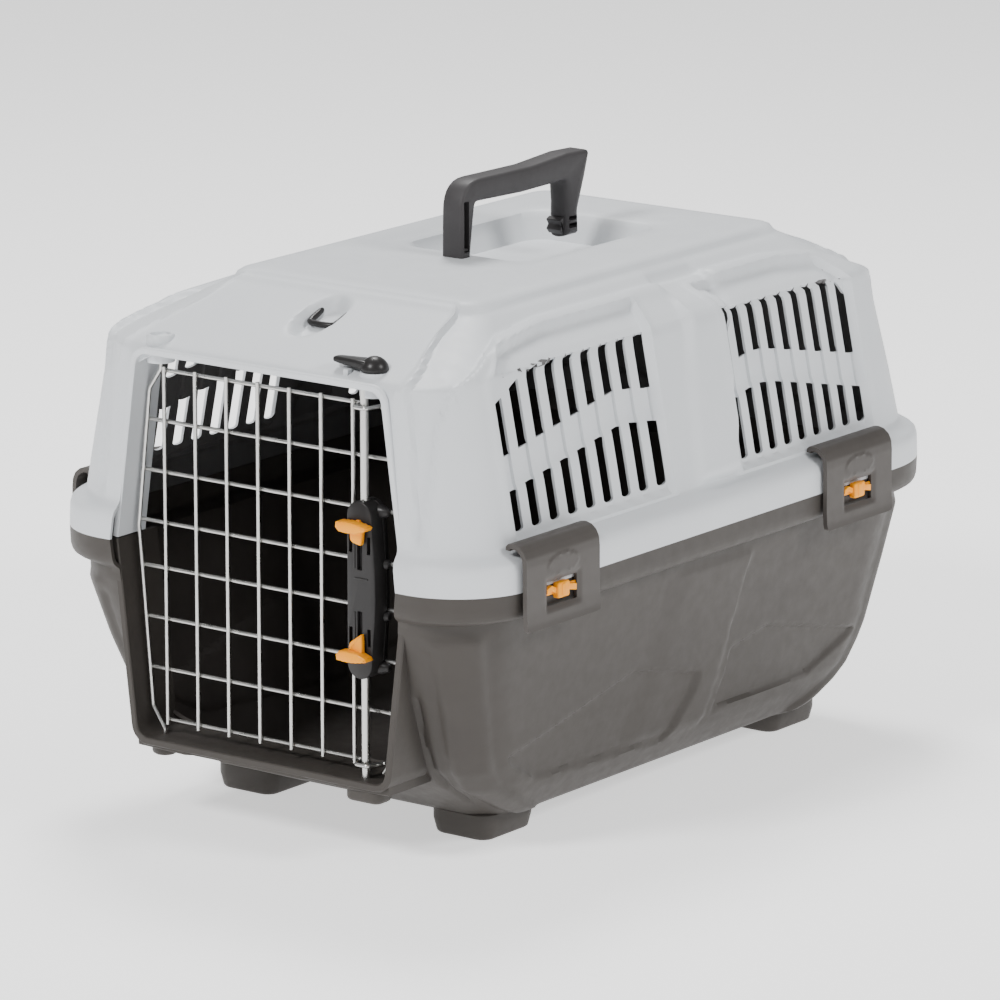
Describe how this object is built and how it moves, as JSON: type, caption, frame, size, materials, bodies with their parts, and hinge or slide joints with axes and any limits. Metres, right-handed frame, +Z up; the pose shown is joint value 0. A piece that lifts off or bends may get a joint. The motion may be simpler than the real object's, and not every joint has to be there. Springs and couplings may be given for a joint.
{
  "type": "pet transport carrier",
  "caption": "Hard-shell pet carrier: lower tray and vented top shell held by side clips, hinged wire front door with a squeeze latch, carrying handle on the roof.",
  "frame": {"origin": "middle of the footprint, on the floor under the feet", "axes": "+Z up; the door faces -Y; +X is the carrier's right for someone standing behind it"},
  "size_m": [0.3752, 0.5496, 0.406],
  "materials": {
    "shell_plastic": "light cool grey moulded polypropylene, fine satin grain",
    "tray_plastic": "dark warm grey moulded polypropylene, fine satin grain",
    "dark_plastic": "near-black grey moulded plastic, satin",
    "yellow_plastic": "warm yellow moulded plastic, satin",
    "zinc_wire": "bright zinc plated drawn wire",
    "spring_steel": "drawn spring wire, satin",
    "steel_screw": "zinc plated screw heads"
  },
  "bodies": {
    "base": {"base_tray": "tray_plastic"},
    "top": {"top_shell": "shell_plastic", "handle": "dark_plastic"},
    "door": {"door_left_frame_wire": "zinc_wire", "door_right_frame_wire": "zinc_wire", "door_vertical_wires": "zinc_wire", "door_horizontal_wires": "zinc_wire", "latch_housing_front": "dark_plastic", "latch_housing_rear": "dark_plastic", "latch_screws": "steel_screw", "upper_latch_spring": "spring_steel", "lower_latch_spring": "spring_steel"},
    "upper_bolt": {"upper_bolt_rod": "zinc_wire", "upper_thumb_tab": "yellow_plastic"},
    "lower_bolt": {"lower_bolt_rod": "zinc_wire", "lower_thumb_tab": "yellow_plastic"},
    "lock_knob": {"door_lock_knob": "dark_plastic"},
    "strap_loop": {"front_strap_loop": "dark_plastic"},
    "clip_front_right": {"clip_front_right": "tray_plastic"},
    "catch_front_right": {"catch_front_right": "yellow_plastic"},
    "clip_rear_right": {"clip_rear_right": "tray_plastic"},
    "catch_rear_right": {"catch_rear_right": "yellow_plastic"},
    "clip_front_left": {"clip_front_left": "tray_plastic"},
    "catch_front_left": {"catch_front_left": "yellow_plastic"},
    "clip_rear_left": {"clip_rear_left": "tray_plastic"},
    "catch_rear_left": {"catch_rear_left": "yellow_plastic"}
  },
  "joints": [
    {"name": "top_lift", "type": "slide", "parent": "base", "child": "top", "axis": [0, 0, 1], "range_m": [0, 0.2]},
    {"name": "door_hinge", "type": "hinge", "parent": "base", "child": "door", "pos_m": [-0.09, -0.25, 0.1845], "axis": [0, 0, -1], "range_deg": [0, 115]},
    {"name": "upper_bolt_slide", "type": "slide", "parent": "door", "child": "upper_bolt", "axis": [0, 0, -1], "range_m": [0, 0.011], "stiffness_N_per_m": 400, "springref_m": -0.006, "deforming": ["upper_latch_spring"]},
    {"name": "lower_bolt_slide", "type": "slide", "parent": "door", "child": "lower_bolt", "axis": [0, 0, 1], "range_m": [0, 0.011], "stiffness_N_per_m": 400, "springref_m": -0.006, "deforming": ["lower_latch_spring"]},
    {"name": "knob_turn", "type": "hinge", "parent": "top", "child": "lock_knob", "pos_m": [0.0825, -0.248, 0.323], "axis": [0, 0, 1], "range_deg": [0, 90]},
    {"name": "strap_loop_hinge", "type": "hinge", "parent": "top", "child": "strap_loop", "pos_m": [0, -0.18, 0.338], "axis": [-1, 0, 0], "range_deg": [0, 80]},
    {"name": "front_right_clip_hinge", "type": "hinge", "parent": "top", "child": "clip_front_right", "pos_m": [0.1706, -0.188, 0.2182], "axis": [0, -1, 0], "range_deg": [0, 100]},
    {"name": "front_right_catch_slide", "type": "slide", "parent": "clip_front_right", "child": "catch_front_right", "axis": [0, -1, 0], "range_m": [0, 0.005]},
    {"name": "rear_right_clip_hinge", "type": "hinge", "parent": "top", "child": "clip_rear_right", "pos_m": [0.1706, 0.1475, 0.2182], "axis": [0, -1, 0], "range_deg": [0, 100]},
    {"name": "rear_right_catch_slide", "type": "slide", "parent": "clip_rear_right", "child": "catch_rear_right", "axis": [0, -1, 0], "range_m": [0, 0.005]},
    {"name": "front_left_clip_hinge", "type": "hinge", "parent": "top", "child": "clip_front_left", "pos_m": [-0.1706, -0.188, 0.2182], "axis": [0, 1, 0], "range_deg": [0, 100]},
    {"name": "front_left_catch_slide", "type": "slide", "parent": "clip_front_left", "child": "catch_front_left", "axis": [0, -1, 0], "range_m": [0, 0.005]},
    {"name": "rear_left_clip_hinge", "type": "hinge", "parent": "top", "child": "clip_rear_left", "pos_m": [-0.1706, 0.1475, 0.2182], "axis": [0, 1, 0], "range_deg": [0, 100]},
    {"name": "rear_left_catch_slide", "type": "slide", "parent": "clip_rear_left", "child": "catch_rear_left", "axis": [0, -1, 0], "range_m": [0, 0.005]}
  ]
}
